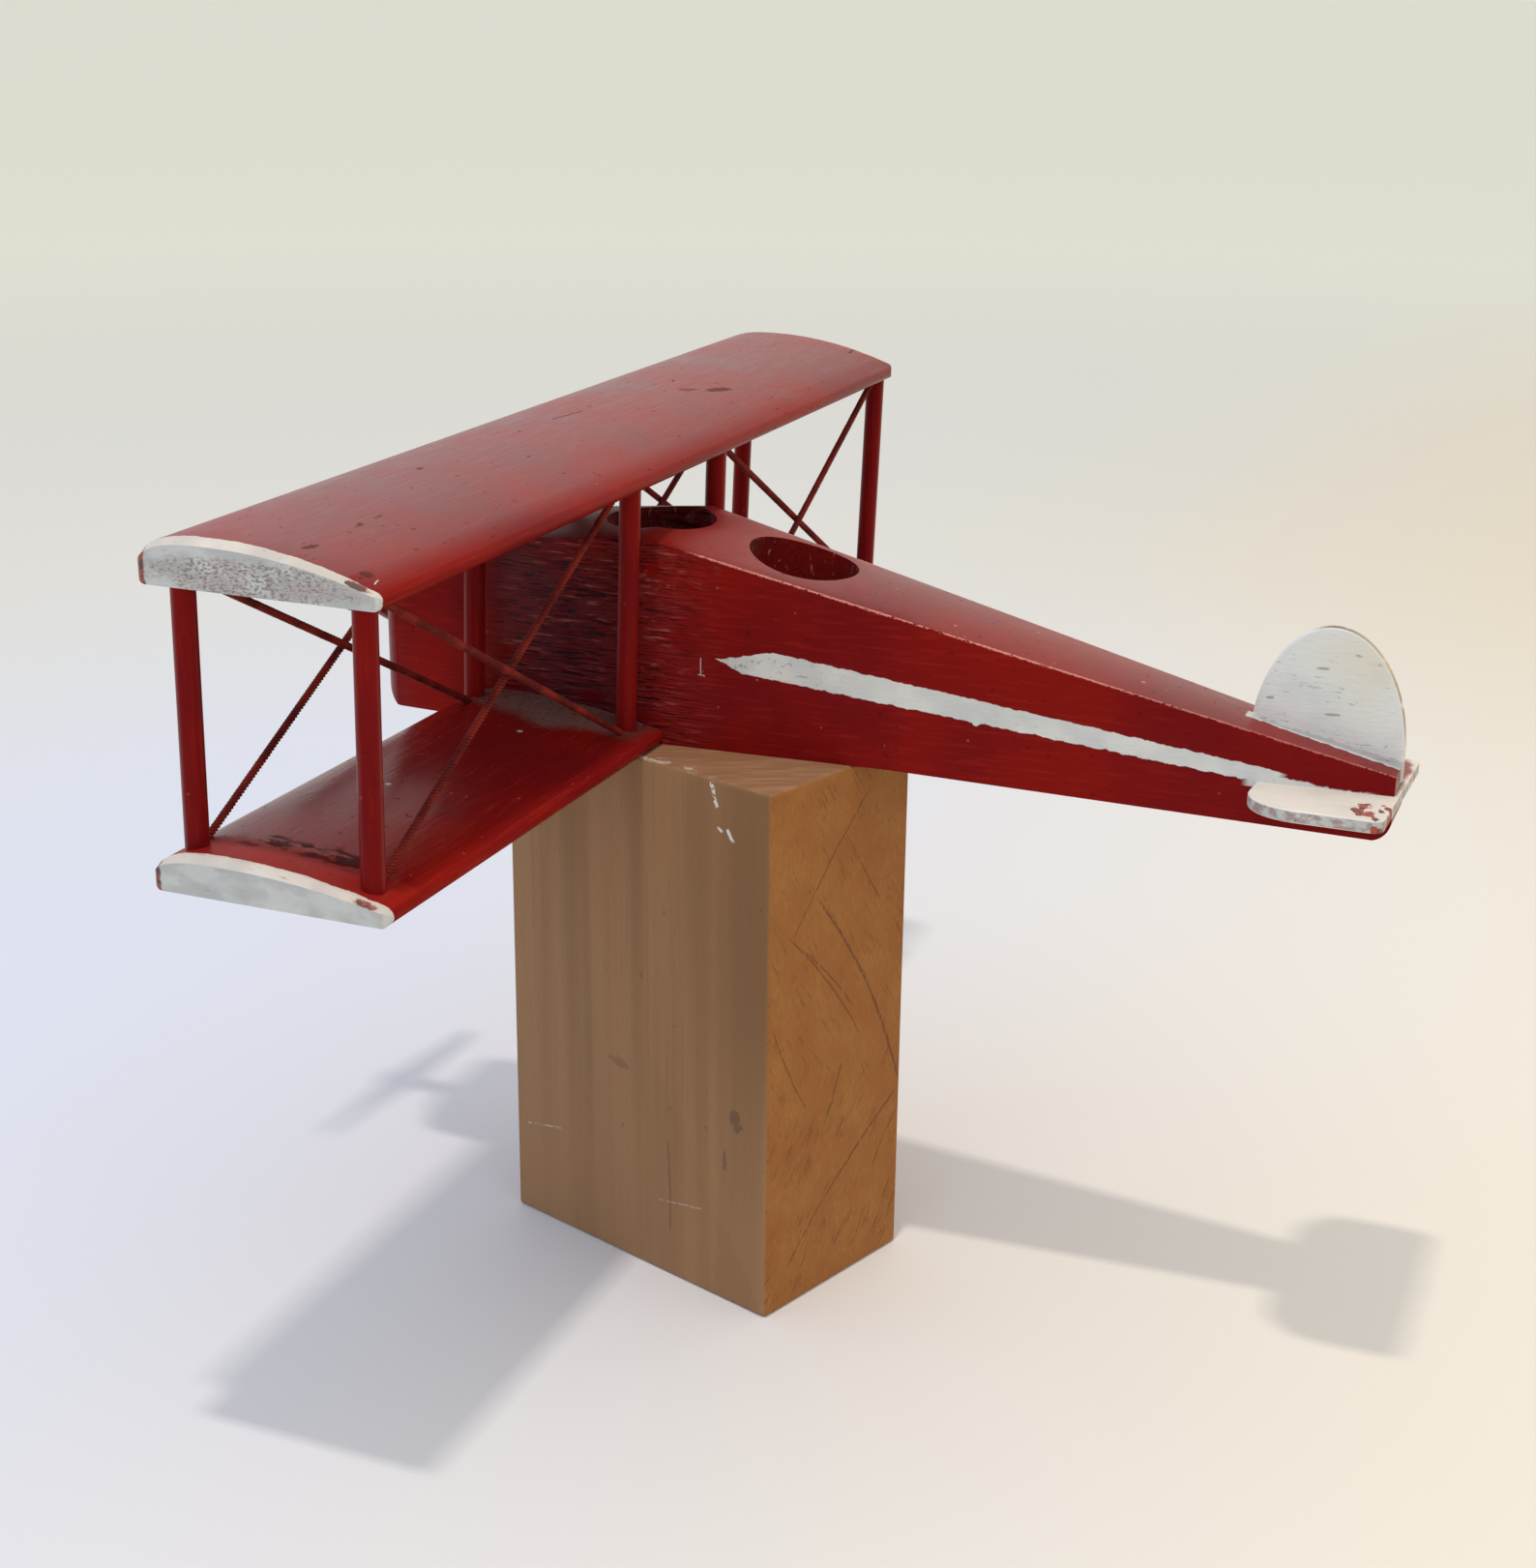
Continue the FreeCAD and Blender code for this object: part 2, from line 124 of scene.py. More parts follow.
# ---- the single marks: centre, half sizes, turn in degrees, raggedness, strength -----------------
UPPER_STAINS = (
    ((-60.5, -57.5), (5.5, 1.7), -20, 0.9, 1.0), ((-14.8, -36.4), (5.0, 1.3), -8, 1.1, 1.0),
    ((-52.0, -63.0), (3.4, 1.6), -30, 1.1, 0.7), ((143.0, -59.0), (2.6, 0.9), -10, 1.0, 1.0),
    ((145.6, -44.5), (1.7, 1.4), 0, 1.2, 1.0))
FIN_DENTS = (
    ((121.5, 175.4), (1.6, 0.35), 4, 0.9, 1.0), ((124.5, 164.6), (2.0, 0.35), 4, 0.9, 1.0),
    ((109.8, 167.0), (0.9, 0.35), 0, 0.9, 1.0))
BLOCK_KNOTS = (
    ((-5.5, 55.9), (3.6, 1.6), 0, 2.2, 0.7), ((34.9, 52.2), (2.0, 3.0), 20, 2.4, 1.0),
    ((31.3, 40.1), (0.8, 3.0), 0, 2.0, 1.0))
# the single scratches: start, end, half width, bow, strength
UPPER_CRACK = (((-6.5, -72.5), (7.0, -74.0), 0.45, 0.0, 1.0),)
UPPER_NICKS = (
    ((62.5, -29.5), (66.6, -25.5), 0.35, 1.3, 1.0), ((145.5, -42.0), (148.0, -41.4), 0.22, 0.0, 1.0))
SIDE_NICK = (
    ((-27.6, 160.9), (-27.6, 165.2), 0.2, 0.0, 1.0), ((-28.3, 160.9), (-26.5, 160.7), 0.2, 0.0, 1.0))
BLOCK_CRACK = (((11.5, 38.7), (12.4, 13.6), 0.45, 0.4, 1.0),)
BLOCK_CHALK = (
    ((26.3, 140.6), (28.3, 134.4), 0.75, 0.0, 1.0), ((28.6, 129.6), (29.8, 128.4), 0.6, 0.0, 1.0),
    ((31.6, 129.6), (33.6, 126.6), 0.7, 0.0, 1.0), ((8.6, 20.8), (23.4, 23.4), 0.4, 0.0, 0.22),
    ((-41.4, 26.3), (-28.1, 29.1), 0.4, 0.0, 0.35))
BLOCK_CUTS = (
    ((8.0, 109.0), (-26.0, 49.0), 0.60, -3.2, 1.0), ((-9.9, 133.1), (17.6, 102.2), 0.34, 0.8, 1.0),
    ((-3.5, 121.7), (-15.8, 103.2), 0.30, 0.0, 1.0), ((18.7, 101.8), (-8.9, 68.0), 0.32, -1.4, 1.0),
    ((14.2, 97.8), (-5.4, 77.3), 0.28, -0.8, 1.0), ((24.8, 78.7), (12.0, 54.0), 0.32, 0.6, 1.0),
    ((-2.0, 61.4), (4.1, 47.2), 0.42, 0.0, 1.0), ((-24.4, 45.7), (-0.7, 29.0), 0.50, 0.5, 1.0),
    ((-0.7, 29.0), (18.2, 11.2), 0.40, 0.8, 1.0))

# ---- floor, light and camera, in metres unless said ----------------------------------------------
FLOOR_HALF_SIZE = 30.0
FLOOR_NEAR = ((0.680, 0.735, 0.870), (0.885, 0.825, 0.670))     # cool nose end, warm tail end: painted tints of the room's cool and warm light
FLOOR_MIDDLE = ((0.750, 0.755, 0.710), (0.845, 0.735, 0.545))
# far off the floor is painted brighter: painted light where the lamp's light falls away
FLOOR_FAR = (0.862, 0.860, 0.735)
FLOOR_WARMING = (-420.0, 420.0)                                 # millimetres along Y
FLOOR_RINGS = ((250.0, 900.0), (900.0, 2600.0))                 # millimetres from the middle
SKY_COOL = (0.720, 0.820, 0.980)
SKY_WARM = (0.940, 0.835, 0.710)
SKY_SLANT, SKY_REACH = -0.75, 0.8
LAMP_PLACE, LAMP_AIM = (0.330, 0.015, 1.60), (0, 0, 0.1)
LAMP_SIZE, LAMP_WATTS, LAMP_COLOUR = (0.085, 0.045), 8.1, (1.0, 0.90, 0.80)
CAMERA_PLACE = (0.5470, 0.2038, 0.3291)
CAMERA_YAW, CAMERA_PITCH, CAMERA_ROLL = map(math.radians, (-158.058, -18.532, 0.6905))
CAMERA_SENSOR_MM, CAMERA_LENS_MM = 36.0, 55.42
CAMERA_SHIFT = (-0.00135, -0.0088)
CAMERA_CLIP = (0.01, 100.0)


# ---- node graphs written as arithmetic -----------------------------------------------------------
class Field:
    """A value socket that takes part in ordinary arithmetic."""

    def __init__(self, graph, socket):
        self.graph, self.socket = graph, socket

    def __add__(self, other):
        return self.graph.math("ADD", self, other)

    def __sub__(self, other):
        return self.graph.math("SUBTRACT", self, other)

    def __rsub__(self, other):
        return self.graph.math("SUBTRACT", other, self)

    def __mul__(self, other):
        return self.graph.math("MULTIPLY", self, other)

    def __truediv__(self, other):
        return self.graph.math("DIVIDE", self, other)

    def __abs__(self):
        return self.graph.math("ABSOLUTE", self)

    __radd__ = __add__
    __rmul__ = __mul__


class Graph:
    """One procedural material, patterned by the place on the object in millimetres."""

    def __init__(self, name):
        self.material = bpy.data.materials.new(name)
        self.material.use_nodes = True
        self.tree = self.material.node_tree
        self.tree.nodes.clear()
        coords = self.node("ShaderNodeTexCoord")
        scaled = self.node("ShaderNodeVectorMath", operation="SCALE")
        self.feed(scaled.inputs[0], coords.outputs["Object"])
        self.feed(scaled.inputs["Scale"], 1.0 / MM)
        self.point = scaled.outputs[0]
        self.x, self.y, self.z = self.split(self.point)
        self.nx, self.ny, self.nz = self.split(coords.outputs["Normal"])
        self.wobble = None

    def node(self, kind, **settings):
        node = self.tree.nodes.new(kind)
        for key, value in settings.items():
            setattr(node, key, value)
        return node

    def feed(self, socket, value):
        if isinstance(value, Field):
            value = value.socket
        if isinstance(value, bpy.types.NodeSocket):
            self.tree.links.new(value, socket)
        elif socket.type == "RGBA":
            socket.default_value = (*value, 1.0)
        else:
            socket.default_value = value

    def split(self, vector):
        node = self.node("ShaderNodeSeparateXYZ")
        self.feed(node.inputs[0], vector)
        return [Field(self, out) for out in node.outputs]

    def join(self, x, y, z):
        node = self.node("ShaderNodeCombineXYZ")
        for socket, value in zip(node.inputs, (x, y, z)):
            self.feed(socket, value)
        return node.outputs[0]

    def math(self, operation, *values):
        node = self.node("ShaderNodeMath", operation=operation)
        for socket, value in zip(node.inputs, values):
            self.feed(socket, value)
        return Field(self, node.outputs[0])

    def low(self, a, b):
        return self.math("MINIMUM", a, b)

    def high(self, a, b):
        return self.math("MAXIMUM", a, b)

    def highest(self, fields):
        found = fields[0]
        for field in fields[1:]:
            found = self.high(found, field)
        return found

    def step(self, value, start, end):
        """0 before start, 1 past end, smooth between; start may be the larger."""
        node = self.node("ShaderNodeMapRange", interpolation_type="SMOOTHSTEP")
        low, high, at_low, at_high = (start, end, 0.0, 1.0) if start < end else (end, start, 1.0, 0.0)
        for socket, number in zip(node.inputs, (value, low, high, at_low, at_high)):
            self.feed(socket, number)
        return Field(self, node.outputs[0])

    def between(self, value, low, high, soft):
        return self.step(value, low - soft, low + soft) * self.step(value, high + soft, high - soft)

    def placed(self, size, stretch, seed, vector):
        node = self.node("ShaderNodeMapping")
        self.feed(node.inputs["Vector"], self.point if vector is None else vector)
        self.feed(node.inputs["Location"], (seed * 7.31, seed * 3.17, seed * 5.77))
        self.feed(node.inputs["Scale"], [1.0 / (size * s) for s in stretch])
        return node.outputs[0]

    def noise(self, size, detail=2.0, stretch=(1, 1, 1), seed=0.0, vector=None, warp=0.0):
        """Cloudy pattern about 0.5, its blobs about size millimetres across."""
        node = self.node("ShaderNodeTexNoise")
        self.feed(node.inputs["Vector"], self.placed(size, stretch, seed, vector))
        self.feed(node.inputs["Scale"], 1.0)
        self.feed(node.inputs["Detail"], detail)
        self.feed(node.inputs["Distortion"], warp)
        return Field(self, node.outputs[0])

    def cells(self, size, seed=0.0):
        """Distance from the nearest of scattered points about size apart, in sizes."""
        node = self.node("ShaderNodeTexVoronoi")
        self.feed(node.inputs["Vector"], self.placed(size, (1, 1, 1), seed, None))
        self.feed(node.inputs["Scale"], 1.0)
        return Field(self, node.outputs["Distance"])

    def mix(self, factor, a, b):
        node = self.node("ShaderNodeMix", data_type="RGBA")
        for index, value in ((0, factor), (6, a), (7, b)):
            self.feed(node.inputs[index], value)
        return node.outputs[2]

    def spot(self, u, v, centre, size, turn=0.0, ragged=0.0):
        """1 inside an ellipse on two fields, falling to 0 at its rim."""
        c, s = math.cos(math.radians(turn)), math.sin(math.radians(turn))
        du, dv = u - centre[0], v - centre[1]
        along = (du * c + dv * s) / size[0]
        across = (dv * c - du * s) / size[1]
        reach = self.math("SQRT", along * along + across * across)
        if ragged:
            reach = reach + (self.noise(min(size) * 0.9, detail=3, seed=centre[0]) - 0.5) * ragged
        return self.step(reach, 1.1, 0.7)

    def spots(self, u, v, rows):
        return self.highest([self.spot(u, v, *row) * strength for *row, strength in rows])

    def scratch(self, u, v, start, end, width, bow=0.0):
        """1 along a line between two places, bowed by bow at its middle, with a broken edge."""
        du, dv = end[0] - start[0], end[1] - start[1]
        length = math.hypot(du, dv)
        ru, rv = u - start[0], v - start[1]
        along = (ru * du + rv * dv) / (length * length)
        across = (rv * du - ru * dv) / length
        if bow:
            across = across - along * (1.0 - along) * (4.0 * bow)
        if self.wobble is None:
            self.wobble = self.noise(3.0, seed=1.7) - 0.5
        wander = self.wobble * (width * 1.8)
        inside = self.step(abs(across + wander), width, width * 0.3)
        return inside * self.between(along, 0.0, 1.0, 0.05)

    def scratches(self, u, v, rows):
        return self.highest([self.scratch(u, v, *row) * strength for *row, strength in rows])

    def edge(self, radius):
        """How sharply the surface turns within radius millimetres, 0 on the flat."""
        bevel = self.node("ShaderNodeBevel", samples=6)
        self.feed(bevel.inputs["Radius"], radius * MM)
        flat = self.node("ShaderNodeNewGeometry")
        dot = self.node("ShaderNodeVectorMath", operation="DOT_PRODUCT")
        self.feed(dot.inputs[0], bevel.outputs[0])
        self.feed(dot.inputs[1], flat.outputs["Normal"])
        return 1.0 - Field(self, dot.outputs["Value"])

    def sheen(self, face_on=0.04, glancing=0.62):
        """Shine of old satin paint: weak face on, strong at a glancing angle."""
        facing = self.node("ShaderNodeLayerWeight")
        self.feed(facing.inputs["Blend"], 0.5)
        slant = self.step(Field(self, facing.outputs["Facing"]), 0.22, 0.68)
        return slant * (glancing - face_on) + face_on

    def finish(self, colour, roughness, height, specular=0.5, metallic=0.0):
        """Closes the material. height is in millimetres."""
        bump = self.node("ShaderNodeBump")
        self.feed(bump.inputs["Strength"], 1.0)
        self.feed(bump.inputs["Distance"], MM)
        self.feed(bump.inputs["Height"], height)
        surface = self.node("ShaderNodeBsdfPrincipled")
        for name, value in (("Base Color", colour), ("Roughness", roughness), ("Metallic", metallic),
                            ("Specular IOR Level", specular), ("Normal", bump.outputs[0])):
            self.feed(surface.inputs[name], value)
        output = self.node("ShaderNodeOutputMaterial")
        self.tree.links.new(surface.outputs[0], output.inputs["Surface"])
        return self.material


# ---- the two paints: each layer is a colour, a roughness and a height ----------------------------
def red_layer(g, brush, gloss):
    """Satin red brushed on by hand: uneven depth, brush strokes, pinholes and dust nibs."""
    cloud = g.noise(38.0)
    strokes = g.noise(0.9, detail=3, stretch=brush, seed=3)
    fine = g.noise(0.55, detail=2, seed=5)
    pits = g.step(g.noise(1.9, detail=2, seed=9), 0.685, 0.74)
    nibs = g.step(g.cells(6.5, seed=4), 0.075, 0.03)
    colour = g.mix(g.step(cloud, 0.35, 0.65), RED_DEEP, RED)
    colour = g.mix(g.step(strokes, 0.48, 0.75) * 0.3, colour, RED_BRIGHT)
    colour = g.mix(pits * 0.40, colour, RED_DARK)
    colour = g.mix(nibs * 0.35, colour, RED_RUBBED)
    roughness = gloss + (strokes - 0.5) * 0.22 + (cloud - 0.5) * 0.2 + pits * 0.2
    height = (strokes - 0.5) * 0.05 + (fine - 0.5) * 0.02 - pits * 0.05 + nibs * 0.05
    return colour, roughness, height


def rub_edges(g, layer, radius, amount):
    """Paint rubbed thin where the surface turns sharply."""
    colour, roughness, height = layer
    worn = g.step(g.edge(radius) * (0.45 + g.noise(5.0, detail=3, seed=21) * 1.1), 0.05, 0.16)
    return g.mix(worn * amount, colour, RED_RUBBED), roughness + worn * 0.1, height


def white_layer(g, run, seed):
    """White brushed over primer: grey bruises, yellowed patches and short scratches along run."""
    cloud = g.noise(14.0, detail=2, seed=seed)
    streak = g.noise(0.8, detail=3, stretch=run, seed=seed + 2)
    marks = g.step(g.noise(1.1, detail=2, stretch=run, seed=seed + 7), 0.69, 0.75)
    colour = g.mix(g.step(cloud, 0.38, 0.62), WHITE_GREY, WHITE)
    colour = g.mix(g.step(streak, 0.52, 0.72) * 0.35, colour, WHITE_GREY)
    colour = g.mix(marks * 0.7, colour, WHITE_DIRT)
    roughness = 0.48 + (streak - 0.5) * 0.25
    height = (streak - 0.5) * 0.09 + (cloud - 0.5) * 0.08 - marks * 0.06
    return colour, roughness, height


def over(g, mask, top, under, thick):
    """One paint over another; the upper coat ends in a small step."""
    colour = g.mix(mask, under[0], top[0])
    roughness = under[1] + (top[1] - under[1]) * mask
    height = under[2] + (top[2] - under[2]) * mask + mask * thick
    return colour, roughness, height


# ---- wing planks ---------------------------------------------------------------------------------
def upper_marks(g, top, colour, roughness, shine):
    """Brown stains, a crack and pale nicks on the upper plank's top."""
    scattered = g.step(g.noise(3.4, detail=3, stretch=(2.2, 1, 1), seed=31), 0.70, 0.75)
    stains = g.highest([g.spots(g.x, g.y, UPPER_STAINS), g.scratches(g.x, g.y, UPPER_CRACK), scattered])
    stains = g.low(stains * top, 1.0)
    colour = g.mix(stains * 0.8, colour, BROWN_CHIP)
    colour = g.mix(g.scratches(g.x, g.y, UPPER_NICKS) * top * 0.75, colour, WHITE_CREAM)
    return colour, roughness + stains * 0.2, shine * (1.0 - stains * 0.75)


def lower_marks(g, top, colour, roughness, shine):
    """Scuffs inside the outer struts, pale specks, a grey patch at the root, and painted light on the top
    beyond the outer struts.
    """
    reach = abs(g.x)
    outer = g.step(reach, 139.5, 142.0)
    rubbed = g.step(g.noise(2.6, detail=4, stretch=(1.0, 2.2, 1), seed=12), 0.47, 0.56)
    scuffed = g.between(reach + (g.noise(9.0, seed=6) - 0.5) * 8.0, 136.0, 143.0, 1.6)
    scuffed = scuffed * g.between(g.y, -80.0, -47.0, 4.0) * rubbed * top
    specks = g.step(g.cells(17.0, seed=15), 0.055, 0.03) * top
    root = g.step(reach + (g.noise(11.0, seed=19) - 0.5) * 9.0 + abs(g.y + 62.0) * 0.35, 43.0, 36.0)
    root = root * g.step(g.y, -38.0, -47.0) * g.step(g.noise(1.5, detail=3, seed=18), 0.28, 0.48)
    # painted light: the top beyond the outer struts brighter red, lit past the upper plank's shadow; the
    # whole plank a touch brighter
    colour = g.mix(outer * top * 0.30 + 0.06, colour, RED_BRIGHT)
    colour = g.mix(root * top * 0.72, colour, ROOT_GREY)
    colour = g.mix(g.low(scuffed, 1.0) * 0.9, colour, RED_DARK)
    colour = g.mix(specks * 0.8, colour, WHITE_GREY)
    roughness = roughness + outer * top * 0.2 + scuffed * 0.2
    shine = shine * (1.0 - g.low(scuffed + outer * top * 0.5, 1.0) * 0.7)
    return colour, roughness, shine


def white_end(g, top, upper):
    """White of a wing tip, tinted warm on top as painted light and darker on its end face as painted
    shade; the upper plank's end face is worn to the wood.
    """
    colour, roughness, height = white_layer(g, (1, 3.5, 1), 2.0)
    face = g.step(abs(g.nx), 0.80, 0.95)
    mottle = g.step(g.noise(5.0, detail=3, stretch=(1, 2.0, 1), seed=46), 0.40, 0.60)
    # painted light: a warm tint on top; painted shade: the end face darker
    colour = g.mix(top * 0.45, colour, WHITE_WARM_LIT)
    colour = g.mix(face * 0.85, colour, g.mix(mottle, WHITE_PAINTED_SHADE, WHITE_GREY))
    if upper:
        tooth = g.noise(0.50, detail=3, stretch=(1, 1.9, 0.9), seed=40)
        patch = g.noise(6.0, detail=3, stretch=(1, 1.6, 1), seed=41)
        bowl = g.spot(g.y, g.z, (-67.5, 210.6), (25.0, 4.6), 0, 0.7)
        worn = face * bowl * g.step(tooth + (patch - 0.5) * 0.4, 0.43, 0.53)
        colour = g.mix(worn * 0.85, colour, g.mix(g.step(tooth, 0.52, 0.60), TIP_WORN, TIP_BARE))
        roughness = roughness + worn * 0.2
        height = height - worn * 0.10
    return colour, roughness, height


def end_chips(g, half_span):
    """Chips along the tip's lower rim and at its two corners."""
    rim = g.step(g.noise(2.1, detail=3, stretch=(1, 2.0, 1), seed=44), 0.60, 0.64)
    low_rim = g.step(g.nz, -0.15, -0.5) * rim
    front = g.spot(g.y, g.x, (-94.0, half_span - 0.4), (1.6, 2.2), 0, 0.8)
    rear = g.spot(g.y, g.x, (-43.2, half_span - 0.7), (3.0, 0.9), 0, 1.0) * g.step(g.nz, 0.15, 0.4)
    return g.low(low_rim + g.high(front, rear), 1.0)


def wing_material(name, half_span, band, upper):
    g = Graph(name + "_paint")
    gloss, glancing, marks = (0.36, 0.60, upper_marks) if upper else (0.24, 0.20, lower_marks)
    red = red_layer(g, (14, 1, 1), gloss)
    shine = g.sheen(glancing=glancing) * (1.0 - g.step(g.ny, 0.12, 0.45) * 0.8)
    colour, roughness, height = rub_edges(g, red, 0.5, 0.12)
    top = g.step(g.nz, 0.5, 0.8)
    colour, roughness, shine = marks(g, top, colour, roughness, shine)
    # white ends, brushed past the rim with a wavering line
    white = white_end(g, top, upper)
    waver = (g.noise(3.2, detail=3, seed=17) - 0.5) * 1.3
    mask = g.step(abs(g.x) + waver - (half_span - band), -0.12, 0.12)
    chips = end_chips(g, half_span) * mask
    colour, roughness, height = over(g, mask, white, (colour, roughness, height), 0.12)
    bare = g.mix(g.step(g.noise(2.0, seed=50), 0.45, 0.55), BROWN_CHIP, RED_UNDERCOAT)
    colour = g.mix(chips * 0.9, colour, bare)
    return g.finish(colour, roughness, height - chips * 0.12, specular=shine)


# ---- fuselage ------------------------------------------------------------------------------------
def raised_grain(g, side, layer):
    """Coarse grain standing proud where the inner struts pass, fading aft, with painted highlight on its
    ridges and painted shade in its grooves; returns its depth too.
    """
    colour, roughness, height = layer
    rows = g.noise(0.75, detail=4, stretch=(6, 11, 1), seed=60, warp=0.3)
    breaks = g.noise(6.0, detail=3, stretch=(1, 1.8, 0.8), seed=61)
    field = g.step(g.y, -90.0, -78.0) * g.step(g.y, -18.0, -44.0) * side
    depth = field * g.step(breaks, 0.24, 0.54)
    runs = g.noise(3.4, detail=3, stretch=(1, 2.4, 0.6), seed=63)
    ridge = g.step(rows, 0.56, 0.66) * g.step(runs, 0.44, 0.55)
    groove = g.step(rows + (breaks - 0.5) * 0.15, 0.46, 0.37)
    bubble = g.spot(g.y, g.z, (-38.0, 188.5), (16.0, 9.0), -8, 0.5) * side
    swell = g.noise(3.0, detail=2, stretch=(1, 1.8, 1), seed=62)
    # painted shade: purple darkening low on the side between the inner struts, under the upper plank
    shade_between_struts = g.between(g.y, -76.0, -50.0, 8.0) * side * g.step(g.z, 196.0, 176.0)
    colour = g.mix(g.step(g.y, 50.0, 120.0) * side * 0.7, colour, RED_DEEP)
    colour = g.mix(shade_between_struts * 0.62, colour, PURPLE_PAINTED_SHADE)
    # painted highlight on the grain's ridges, painted shade in its grooves
    colour = g.mix(depth * ridge * 0.60, colour, GRAIN_RIDGE_HIGHLIGHT)
    colour = g.mix(depth * groove * 0.90, colour, GRAIN_GROOVE_SHADE)
    # pale flecks on the bubbled patch's swells: painted highlight of its shine
    colour = g.mix(bubble * g.step(swell, 0.60, 0.68) * 0.25, colour, RED_RUBBED)
    height = height + depth * (rows - 0.5) * 1.7 + bubble * (swell - 0.5) * 1.1
    return (colour, roughness - field * 0.16, height), depth


def deck_edge_highlight_and_wear(g):
    """1 where the deck's long edges carry a painted highlight, partly rubbed paint, in dots and runs."""
    half_deck = (g.y - DECK_BREAK_Y) * DECK_HALF_WIDTH[1] + DECK_HALF_WIDTH[0]
    deck_edge = (g.y - DECK_BREAK_Y) * DECK_EDGE_Z[1] + DECK_EDGE_Z[0]
    from_edge = g.high(half_deck - abs(g.x), deck_edge - g.z)
    dots = g.noise(1.0, detail=2, stretch=(1, 1.2, 1), seed=23)
    runs = g.noise(16.0, detail=2, seed=24)
    rubbed = g.step(from_edge + (dots - 0.5) * 1.1, 0.48, 0.22) * g.step(from_edge, -0.9, -0.5)
    rubbed = rubbed * g.step(g.y, -32.0, -27.0) * (1.0 - g.step(g.y, 40.0, 120.0) * 0.45)
    return rubbed * g.step(dots + (runs - 0.5) * 0.5, 0.34, 0.46)


def white_flash(g, side, deck):
    """The flash along each side, and slop of white round the tail's roots; returns mask and paint."""
    waver = (g.noise(1.7, detail=4, stretch=(1, 1.4, 1), seed=80) - 0.5) * 1.3
    waver = waver + g.step(g.cells(9.0, seed=81), 0.16, 0.05) * 0.8
    y, z = g.y - FLASH_DATUM[0], g.z - FLASH_DATUM[1]
    roof = g.low(*[(y - station) * slope + height for station, height, slope in FLASH_UPPER_LINES])
    base = g.high(*[(y - station) * slope + height for station, height, slope in FLASH_LOWER_LINES])
    flash = g.step(g.low(roof - z, z - base) + waver, -0.10, 0.10)
    flash = flash * side * g.step(y + waver * 3.0, *FLASH_END)
    slop = g.between(z + waver * 1.1 + g.step(y, 158.0, 176.0) * 1.5, -0.8, 2.1, 0.2) * side
    slop = slop * g.step(y, 151.0, 153.5)
    slop = slop * g.step(y + waver * 6.0, 184.0, 176.0)
    fin_foot = g.step(abs(g.x) + (g.noise(1.9, detail=3, seed=83) - 0.5) * 2.4, 2.15, 1.85)
    slop = g.high(slop, fin_foot * deck * g.step(g.y, FIN_FRONT_Y, FIN_FRONT_Y + 0.6))
    colour, roughness, height = white_layer(g, (1, 5, 1), 9.0)
    colour = g.mix(0.45, colour, WHITE_GREY)
    bruise = g.step(g.noise(1.3, detail=3, seed=86), 0.60, 0.68) * g.step(y, 60.0, 35.0)
    colour = g.mix(bruise * 0.6, colour, WHITE_DIRT)
    return g.high(flash, slop), (colour, roughness, height)


def fuselage_material():
    g = Graph("fuselage_paint")
    layer = red_layer(g, (1, 16, 1), 0.38)
    side = g.step(abs(g.nx), 0.6, 0.85)
    deck = g.step(g.nz, 0.7, 0.9)
    (colour, roughness, height), depth = raised_grain(g, side, layer)
    colour = g.mix(g.scratches(g.y, g.z, SIDE_NICK) * side * 0.8, colour, WHITE_GREY)
    nibs = g.step(g.cells(12.0, seed=70), 0.06, 0.03) * deck
    colour = g.mix(nibs * 0.7, colour, RED_RUBBED)
    # painted highlight along the deck's long edges, partly rubbed paint
    colour = g.mix(deck_edge_highlight_and_wear(g) * 0.9, colour, EDGE_HIGHLIGHT_PINK)
    mask, white = white_flash(g, side, deck)
    colour, roughness, height = over(g, mask, white, (colour, roughness, height), 0.16)
    # cockpits: unsanded wood under one coat, rough with pale raised fibres; the walls' darkness is
    # painted shade inside the wells
    well = g.low(g.spot(g.x, g.y, *COCKPITS[0]) + g.spot(g.x, g.y, *COCKPITS[1]), 1.0)
    well = well * g.step(abs(g.nz), 0.93, 0.85) * g.step(abs(g.x), COCKPIT_RADIUS, COCKPIT_RADIUS - 0.6)
    fibre = g.noise(0.9, detail=4, stretch=(1, 1, 2.5), seed=90)
    colour = g.mix(well, colour, g.mix(g.step(fibre, 0.62, 0.70) * 0.8, RED_DARK, RED_RUBBED))
    roughness = roughness + well * 0.35
    height = height + well * (fibre - 0.5) * 0.9
    shine = g.sheen(0.03, 0.48) * (1.0 - well * 0.8) + depth * 0.16
    return g.finish(colour, roughness, height, specular=shine)


